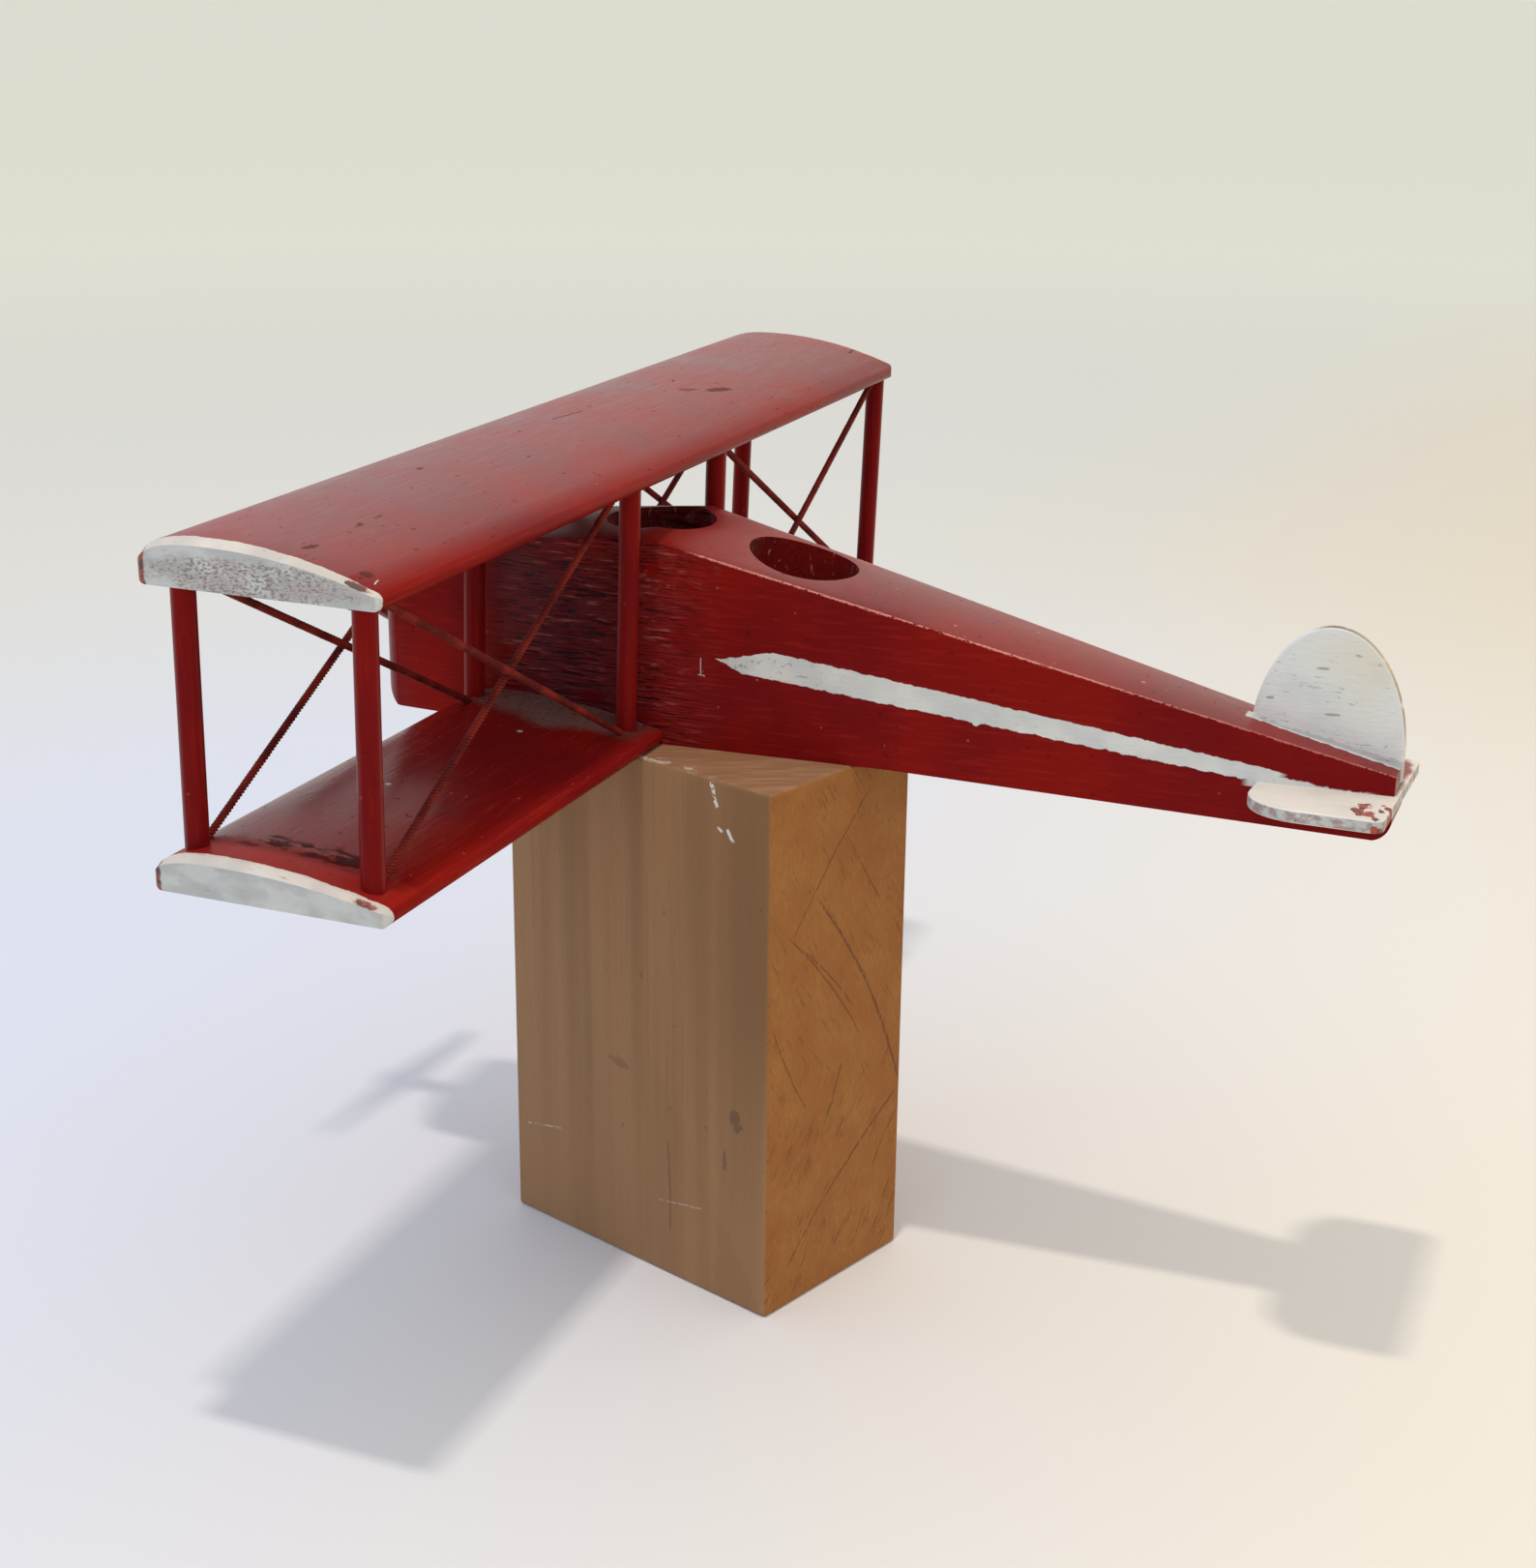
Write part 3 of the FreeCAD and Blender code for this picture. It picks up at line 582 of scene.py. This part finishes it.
# ---- tail ----------------------------------------------------------------------------------------
def fin_material():
    """Cool white with a worn rear rim, short dents, painted shade along its foot and a blob of paint at
    its front.
    """
    g = Graph("fin_paint")
    colour, roughness, height = white_layer(g, (1, 4.5, 1), 4.0)
    turn = g.edge(0.45)
    colour = g.mix(0.6, colour, WHITE_COOL)
    rear = g.step(g.y + (g.z - 184.0) * 0.9, 117.0, 125.0)
    rim = g.high(g.step(turn, 0.03, 0.10), g.step(abs(g.nx), 0.75, 0.55))
    rim = rim * rear * g.step(g.noise(5.0, detail=2, seed=13), 0.34, 0.42)
    colour = g.mix(rim * 0.9, colour, g.mix(g.step(g.z, 182.0, 178.0), BROWN_CHIP, RIM_TAN))
    warm = g.step(abs(g.y - 132.0) + abs(g.z - 179.0), 20.0, 2.0)
    colour = g.mix(warm * 0.50, colour, WHITE_WARM)
    ticks = g.step(g.noise(0.75, detail=3, stretch=(1, 4.0, 1), seed=15), 0.655, 0.70)
    ticks = ticks * g.step(g.noise(8.0, detail=2, seed=16), 0.44, 0.56)
    marks = g.high(ticks * 0.8, g.spots(g.y, g.z, FIN_DENTS))
    root_shade_line = g.z + (g.y - 105.0) * 0.20 + (g.noise(2.0, detail=3, seed=17) - 0.5) * 2.6
    blob = g.spot(g.y, g.z, (105.5, 161.6), (1.6, 1.5), 0, 0.8)
    colour = g.mix(marks * 0.6, colour, WHITE_DIRT)
    # painted shade: a dark line along the fin's foot, in the crease with the deck
    colour = g.mix(g.step(root_shade_line, 162.8, 162.2) * 0.35, colour, WHITE_DIRT)
    colour = g.mix(blob * 0.8, colour, WHITE_CREAM)
    return g.finish(colour, roughness, height - marks * 0.12 + blob * 0.2)


def tailplane_material():
    """Cream top as painted warm light, edges darkened as painted shade and grimy, chips at the port rear
    corner, and red bled on to the starboard one.
    """
    g = Graph("tailplane_paint")
    colour, roughness, height = white_layer(g, (1, 4.5, 1), 4.0)
    top = g.step(g.nz, 0.5, 0.8)
    rim = g.step(abs(g.nz), 0.5, 0.3)
    # painted light: the top tinted cream; painted shade: the edges darker, with grime over them
    colour = g.mix(top * 0.6, colour, WHITE_CREAM)
    grime = g.noise(1.6, detail=4, stretch=(1.6, 1.6, 1), seed=35)
    colour = g.mix(rim * 0.75, colour, WHITE_PAINTED_SHADE)
    colour = g.mix(rim * g.step(grime, 0.42, 0.60) * 0.75, colour, PLATE_GRIME)
    blotch = g.noise(3.4, detail=4, stretch=(1.5, 1, 1), seed=33)
    corner = g.spot(g.x, g.y, (23.0, TAIL_Y - 3.0), (9.0, 6.0), 20)
    chips = g.step(blotch + corner * 0.29, 0.735, 0.755)
    chips = g.high(chips, g.step(g.noise(1.8, detail=3, seed=34), 0.68, 0.72) * rim)
    bare = g.mix(g.step(g.noise(1.5, detail=2, seed=36), 0.40, 0.52), BROWN_CHIP, RED_UNDER_WHITE)
    bleed = g.spot(g.x, g.y, (-17.0, TAIL_Y - 4.0), (14.0, 4.0), 0, 0.5) * top
    colour = g.mix(bleed * 0.95, colour, RED)
    colour = g.mix(chips * 0.95, colour, bare)
    return g.finish(colour, roughness + chips * 0.15, height - chips * 0.16)


# ---- struts, twine, nail and propeller -----------------------------------------------------------
def dowel_material():
    g = Graph("dowel_paint")
    colour, roughness, height = rub_edges(g, red_layer(g, (1, 1, 12), 0.33), 0.4, 0.25)
    runs = g.noise(2.2, detail=2, stretch=(1, 1, 5), seed=28)
    colour = g.mix(g.step(runs, 0.55, 0.7) * 0.3 + 0.35, colour, RED_DEEP)
    return g.finish(colour, roughness, height + (runs - 0.5) * 0.10, specular=g.sheen(0.04, 0.26))


def cord_material():
    g = Graph("painted_twine")
    fibre = g.noise(0.22, detail=3, stretch=(2.0, 2.0, 2.0), seed=2)
    patch = g.noise(9.0, detail=2, seed=3)
    colour = g.mix(g.step(patch, 0.4, 0.65), TWINE_DARK, TWINE_RED)
    colour = g.mix(g.step(fibre, 0.55, 0.75) * 0.35, colour, TWINE_FUZZ)
    return g.finish(colour, 0.62 + (fibre - 0.5) * 0.3, (fibre - 0.5) * 0.10, specular=0.12)


def steel_material():
    g = Graph("dull_steel")
    tarnish = g.noise(1.4, detail=4, seed=1)
    colour = g.mix(g.step(tarnish, 0.42, 0.62), STEEL, STEEL_TARNISHED)
    return g.finish(colour, 0.38 + tarnish * 0.3, (tarnish - 0.5) * 0.05, metallic=0.85)


def propeller_material():
    g = Graph("propeller_paint")
    c, s = BLADE_LEAN
    rise = g.z - SHAFT_Z
    spin = g.join(g.x * c + rise * s, g.y, rise * c - g.x * s)
    colour, roughness, height = rub_edges(g, red_layer(g, (10, 1, 1), 0.36), 0.5, 0.5)
    strokes = g.noise(0.8, detail=3, stretch=(14, 1, 1), seed=3, vector=spin)
    colour = g.mix(g.step(strokes, 0.55, 0.75) * 0.4, colour, RED_BRIGHT)
    return g.finish(colour, roughness, height + (strokes - 0.5) * 0.08, specular=g.sheen())


# ---- display block: u runs across it, v along it, z up -------------------------------------------
def planed_face(g, v, z, front, local):
    """Wide faces: long upright grain in soft bands, knots, grime and chalk. Returns the pores too."""
    bands = g.noise(11.0, detail=2, stretch=(1, 1, 30), seed=1, vector=local)
    lines = g.noise(1.1, detail=4, stretch=(1, 1, 45), seed=2, vector=local, warp=0.2)
    pores = g.noise(0.45, detail=2, stretch=(1, 1, 9), seed=3, vector=local)
    colour = g.mix(g.step(bands, 0.36, 0.64), WOOD_MID, WOOD_PALE)
    colour = g.mix(g.step(lines, 0.52, 0.72) * 0.25, colour, WOOD_LINE)
    colour = g.mix(g.step(pores, 0.60, 0.72) * 0.25, colour, WOOD_PORE)
    specks = g.step(g.noise(3.6, detail=3, stretch=(1, 1, 1.6), seed=4, vector=local), 0.715, 0.76)
    knots = g.highest([g.spots(v, z, BLOCK_KNOTS), g.scratches(v, z, BLOCK_CRACK), specks])
    grime = g.step(v, 12.0, 44.0) * g.step(z, 40.0, 90.0)
    colour = g.mix(grime * 0.72, colour, WOOD_GRIMY)
    colour = g.mix(g.step(z, 60.0, 15.0) * 0.35, colour, WOOD_FOOT)
    colour = g.mix(knots * 0.45, colour, WOOD_KNOT)
    broken = g.step(g.noise(1.0, detail=3, seed=5, vector=local), 0.40, 0.50)
    colour = g.mix(g.scratches(v, z, BLOCK_CHALK) * broken * front, colour, CHALK)
    return colour, (lines - 0.5) * 0.10, pores


def tears(g, u, z, slope, size, seed, start, end):
    """Fine torn streaks lying at a slope across the narrow faces."""
    c, s = math.cos(math.radians(slope)), math.sin(math.radians(slope))
    lay = g.join(u * s - z * c, seed, (u * c + z * s) * 0.075)
    return g.step(g.noise(size, detail=4, seed=seed, vector=lay), start, end)


def sawn_face(g, u, z, local):
    """Narrow faces: golden, cross-cut, with saw tears falling and rising across them."""
    mottle = g.noise(15.0, detail=3, seed=6, vector=local)
    colour = g.mix(g.step(mottle, 0.25, 0.75), WOOD_GOLD_DEEP, WOOD_GOLD)
    lower = g.step(z + (mottle - 0.5) * 60.0, 66.0, 50.0)
    clumps = g.step(g.noise(9.0, detail=2, seed=7.5, vector=local), 0.44, 0.58)
    falling = tears(g, u, z, 58.0, 0.62, 7.0, 0.575, 0.64) * clumps
    rising = tears(g, u, z, 122.0, 0.62, 8.0, 0.56, 0.63) * clumps
    torn = g.high(falling * (1.0 - lower) * 0.6, rising * lower * 0.8)
    marks = g.high(torn, g.scratches(u, z, BLOCK_CUTS))
    grit = g.noise(0.8, detail=4, stretch=(1, 1, 2.4), seed=10, vector=local)
    marks = g.low(marks, 1.0) * (g.step(grit, 0.36, 0.48) * 0.6 + 0.4)
    colour = g.mix(g.step(grit, 0.44, 0.66) * 0.45, colour, WOOD_GOLD_DEEP)
    colour = g.mix(g.step(grit, 0.40, 0.30) * 0.30, colour, WOOD_TORN)
    colour = g.mix(marks * 0.75, colour, WOOD_DARK)
    return colour, (grit - 0.5) * 0.30 + (mottle - 0.5) * 0.5


def top_face(g, u, v, local):
    """Top: paler, with slanting stroke marks, and dented along its front edge."""
    slant = g.join((u + v) * 0.9, (u - v) * 0.12, 0.0)
    strokes = g.noise(2.4, detail=3, seed=11, vector=slant)
    colour = g.mix(g.step(strokes, 0.40, 0.66), TOP_DARK, TOP_PALE)
    dents = g.step(g.noise(2.2, detail=4, stretch=(1, 2.0, 1), seed=14, vector=local), 0.50, 0.55)
    dents = dents * g.step(BLOCK_HALF_WIDTH - u, 4.0, 2.0) * g.between(v, -6.0, 24.0, 5.0)
    return g.mix(dents * 0.8, colour, TOP_DENT), (strokes - 0.5) * 0.25


def block_material():
    g = Graph("sawn_block")
    c, s = math.cos(BLOCK_TURN), math.sin(BLOCK_TURN)
    dx, dy = g.x - BLOCK_CENTRE[0], g.y - BLOCK_CENTRE[1]
    u, v, z = dx * c + dy * s, dy * c - dx * s, g.z
    local = g.join(u, v, z)
    nu, nv = g.nx * c + g.ny * s, g.ny * c - g.nx * s
    wide, narrow = g.step(abs(nu), 0.6, 0.8), g.step(abs(nv), 0.6, 0.8)
    top = g.step(g.nz, 0.6, 0.8)
    planed, planed_height, pores = planed_face(g, v, z, g.step(nu, 0.5, 0.8), local)
    sawn, sawn_height = sawn_face(g, u, z, local)
    crown, crown_height = top_face(g, u, v, local)
    colour = g.mix(top, g.mix(narrow, planed, sawn), crown)
    worn = g.step(g.edge(0.9) * (0.5 + g.noise(4.0, seed=12)), 0.06, 0.2)
    colour = g.mix(worn * 0.30, colour, WOOD_CORNER)
    height = planed_height * wide + sawn_height * narrow + crown_height * top
    return g.finish(colour, 0.66 + (pores - 0.5) * 0.25, height, specular=0.2)


def dress(node, material, edge_mm=None):
    """Gives a CAD node its material and, where asked, softened edges."""
    node.data.materials.clear()
    node.data.materials.append(material)
    if edge_mm:
        weld = node.modifiers.new("weld", "WELD")
        weld.merge_threshold = 2e-6
        bevel = node.modifiers.new("soft_edges", "BEVEL")
        bevel.width, bevel.segments = edge_mm * MM, 3
        bevel.limit_method, bevel.angle_limit = "ANGLE", math.radians(28)
        bevel.use_clamp_overlap = True
        bevel.harden_normals = False


# ---- twisted twine -------------------------------------------------------------------------------
def rounded_path(points, reach, spacing):
    """Points along a broken line whose corners are eased over reach."""
    line = [points[0]]
    for before, corner, after in zip(points, points[1:], points[2:]):
        a = corner + (before - corner).normalized() * reach
        b = corner + (after - corner).normalized() * reach
        line += [a.lerp(corner, t).lerp(corner.lerp(b, t), t) for t in (0.0, 0.25, 0.5, 0.75, 1.0)]
    line.append(points[-1])
    spaced = [line[0]]
    for a, b in zip(line, line[1:]):
        count = max(1, round((b - a).length / spacing))
        spaced += [a.lerp(b, (i + 1) / count) for i in range(count)]
    return spaced


def frames_along(path):
    """At each point of a path: the point, two directions across it, its own, and the distance so far."""
    side = (path[1] - path[0]).cross(Vector((0, 1, 0))).normalized()
    travelled, frames = 0.0, []
    for i, point in enumerate(path):
        tangent = (path[min(i + 1, len(path) - 1)] - path[max(i - 1, 0)]).normalized()
        side = (side - tangent * side.dot(tangent)).normalized()
        if i:
            travelled += (point - path[i - 1]).length
        frames.append((point, side.copy(), tangent.cross(side), tangent, travelled))
    return frames


def make_twine(name, points, radius, strands=3, sides=7):
    """Strands laid round one another along a path, as one mesh."""
    frames = frames_along(rounded_path(points, 1.2 * MM, 0.26 * MM))
    lay = TWINE_LAY * MM
    strand_radius = radius * 0.44
    orbit = radius - strand_radius
    verts, faces = [], []
    for strand in range(strands):
        first = len(verts)
        for point, across, up, tangent, travelled in frames:
            turn = math.tau * (travelled / lay + strand / strands)
            out = across * math.cos(turn) + up * math.sin(turn)
            around = tangent.cross(out)
            centre = point + out * orbit
            fullness = 1.0 + 0.10 * noise.noise(centre * 900.0)
            lean = (tangent + around * (math.tau * orbit / lay)).normalized()
            flat = lean.cross(out)
            for k in range(sides):
                a = math.tau * k / sides
                verts.append(centre + (out * math.cos(a) + flat * math.sin(a)) * strand_radius * fullness)
        for i in range(len(frames) - 1):
            for k in range(sides):
                a, b = first + i * sides, first + (i + 1) * sides
                n = (k + 1) % sides
                faces.append((a + k, a + n, b + n, b + k))
        faces.append([first + k for k in reversed(range(sides))])
        faces.append([len(verts) - sides + k for k in range(sides)])
    mesh = bpy.data.meshes.new(name)
    mesh.from_pydata(verts, [], faces)
    mesh.shade_smooth()
    piece = bpy.data.objects.new(name, mesh)
    bpy.context.scene.collection.objects.link(piece)
    return piece


def string_cord(node_name, material):
    """Twine in the place of one CAD cord, from its lower hole to its upper one."""
    low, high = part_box(node_name)
    r, sink = CORD_RADIUS * MM, CORD_SINK * MM
    port, outer_high = "_port_" in node_name, node_name.endswith("outer_high")
    near, far = (low.x + r, high.x - r) if port == outer_high else (high.x - r, low.x + r)
    fore, aft = low.y + r, high.y - r
    points = [Vector((near, fore, low.z)), Vector((near, fore, low.z + sink)),
              Vector((far, aft, high.z - sink)), Vector((far, aft, high.z))]
    twine = make_twine(node_name.replace("cord_", "twine_"), points, TWINE_RADIUS * MM)
    twine.data.materials.append(material)
    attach(twine, "airframe")
    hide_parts(node_name)


# ---- dressing the frame --------------------------------------------------------------------------
dowels, steel, twine = dowel_material(), steel_material(), cord_material()
plates = tailplane_material()
# material, softened edge in millimetres, and slot of each node that isn't a strut or a cord
looks = {
    "display_block": (block_material(), 0.5, "block_wood"),
    "fuselage": (fuselage_material(), 0.35, "red_wood"),
    "upper_wing": (wing_material("upper_wing", UPPER_HALF_SPAN, UPPER_BAND, True), 0.25, "red_wood"),
    "lower_wing": (wing_material("lower_wing", LOWER_HALF_SPAN, LOWER_BAND, False), 0.25, "red_wood"),
    "tail_fin": (fin_material(), None, "white_wood"),
    "tailplane_port": (plates, 0.3, "white_wood"),
    "tailplane_starboard": (plates, 0.3, "white_wood"),
    "propeller": (propeller_material(), 0.2, "red_wood"),
    "propeller_nail": (steel, None, "steel"),
    "washer_inner": (steel, 0.1, "steel"),
    "washer_outer": (steel, 0.1, "steel"),
    "spacer_bead": (dowels, 0.3, "red_wood"),
}
for node_name in sorted(NODES):
    if node_name.startswith("cord_"):
        string_cord(node_name, twine)
    elif node_name.startswith("strut_"):
        dress(NODES[node_name], dowels)
    else:
        material, edge_mm, slot_name = looks[node_name]
        dress(NODES[node_name], material, edge_mm)


# ---- floor, light and camera ---------------------------------------------------------------------
def make_floor():
    """Pale paper, its colour graded as painted light: cooler towards the nose end and warmer towards the
    tail for the room's cool and warm light, brighter and creamier far off where the lamp's light falls
    away.
    """
    mesh = bpy.data.meshes.new("floor")
    signs = ((-1, -1), (1, -1), (1, 1), (-1, 1))
    corners = [(x * FLOOR_HALF_SIZE, y * FLOOR_HALF_SIZE, 0) for x, y in signs]
    mesh.from_pydata(corners, [], [(0, 1, 2, 3)])
    floor = bpy.data.objects.new("floor", mesh)
    bpy.context.scene.collection.objects.link(floor)
    g = Graph("paper_sweep")
    # painted tints of the cool and warm room light, from the nose end to the tail end
    warm = g.step(g.y, *FLOOR_WARMING)
    away = g.math("SQRT", g.x * g.x + g.y * g.y)
    near, middle = g.mix(warm, *FLOOR_NEAR), g.mix(warm, *FLOOR_MIDDLE)
    # painted light: the floor brighter and creamier far off, where the lamp's light falls away
    colour = g.mix(g.step(away, *FLOOR_RINGS[0]), near, middle)
    colour = g.mix(g.step(away, *FLOOR_RINGS[1]), colour, FLOOR_FAR)
    mesh.materials.append(g.finish(colour, 0.9, g.noise(4.0, detail=2) * 0.02, specular=0.1))


def make_world():
    """Soft room light, cool from the nose side and warm from the tail side."""
    world = bpy.data.worlds.new("room")
    world.use_nodes = True
    tree = world.node_tree
    tree.nodes.clear()
    coords = tree.nodes.new("ShaderNodeTexCoord")
    split = tree.nodes.new("ShaderNodeSeparateXYZ")
    ramp = tree.nodes.new("ShaderNodeMapRange")
    mix = tree.nodes.new("ShaderNodeMix")
    mix.data_type = "RGBA"
    background = tree.nodes.new("ShaderNodeBackground")
    output = tree.nodes.new("ShaderNodeOutputWorld")
    across = tree.nodes.new("ShaderNodeMath")
    across.operation = "MULTIPLY_ADD"
    across.inputs[1].default_value = SKY_SLANT
    ramp.inputs["From Min"].default_value = -SKY_REACH
    ramp.inputs["From Max"].default_value = SKY_REACH
    mix.inputs[6].default_value = (*SKY_COOL, 1.0)
    mix.inputs[7].default_value = (*SKY_WARM, 1.0)
    background.inputs["Strength"].default_value = 1.0
    for source, target in (
            (coords.outputs["Generated"], split.inputs[0]), (split.outputs["X"], across.inputs[0]),
            (split.outputs["Y"], across.inputs[2]), (across.outputs[0], ramp.inputs["Value"]),
            (ramp.outputs[0], mix.inputs[0]), (mix.outputs[2], background.inputs["Color"]),
            (background.outputs[0], output.inputs["Surface"])):
        tree.links.new(source, target)
    bpy.context.scene.world = world


def make_lamp():
    data = bpy.data.lights.new("overhead", "AREA")
    data.shape, data.size, data.size_y = "RECTANGLE", *LAMP_SIZE
    data.energy, data.color = LAMP_WATTS, LAMP_COLOUR
    lamp = bpy.data.objects.new("overhead", data)
    lamp.location = LAMP_PLACE
    lamp.rotation_euler = (Vector(LAMP_AIM) - Vector(LAMP_PLACE)).to_track_quat("-Z", "Y").to_euler()
    bpy.context.scene.collection.objects.link(lamp)


def make_camera():
    reach, rise = math.cos(CAMERA_PITCH), math.sin(CAMERA_PITCH)
    ahead = Vector((reach * math.cos(CAMERA_YAW), reach * math.sin(CAMERA_YAW), rise))
    level = ahead.cross(Vector((0, 0, 1))).normalized()
    plumb = level.cross(ahead)
    right = level * math.cos(CAMERA_ROLL) + plumb * math.sin(CAMERA_ROLL)
    up = plumb * math.cos(CAMERA_ROLL) - level * math.sin(CAMERA_ROLL)
    data = bpy.data.cameras.new("camera")
    data.sensor_width, data.lens = CAMERA_SENSOR_MM, CAMERA_LENS_MM
    data.shift_x, data.shift_y = CAMERA_SHIFT
    data.clip_start, data.clip_end = CAMERA_CLIP
    camera = bpy.data.objects.new("camera", data)
    facing = Matrix((right, up, -ahead)).transposed().to_4x4()
    camera.matrix_world = Matrix.Translation(CAMERA_PLACE) @ facing
    bpy.context.scene.collection.objects.link(camera)
    bpy.context.scene.camera = camera


make_floor()
make_world()
make_lamp()
make_camera()
bpy.context.scene.view_settings.view_transform = "Standard"
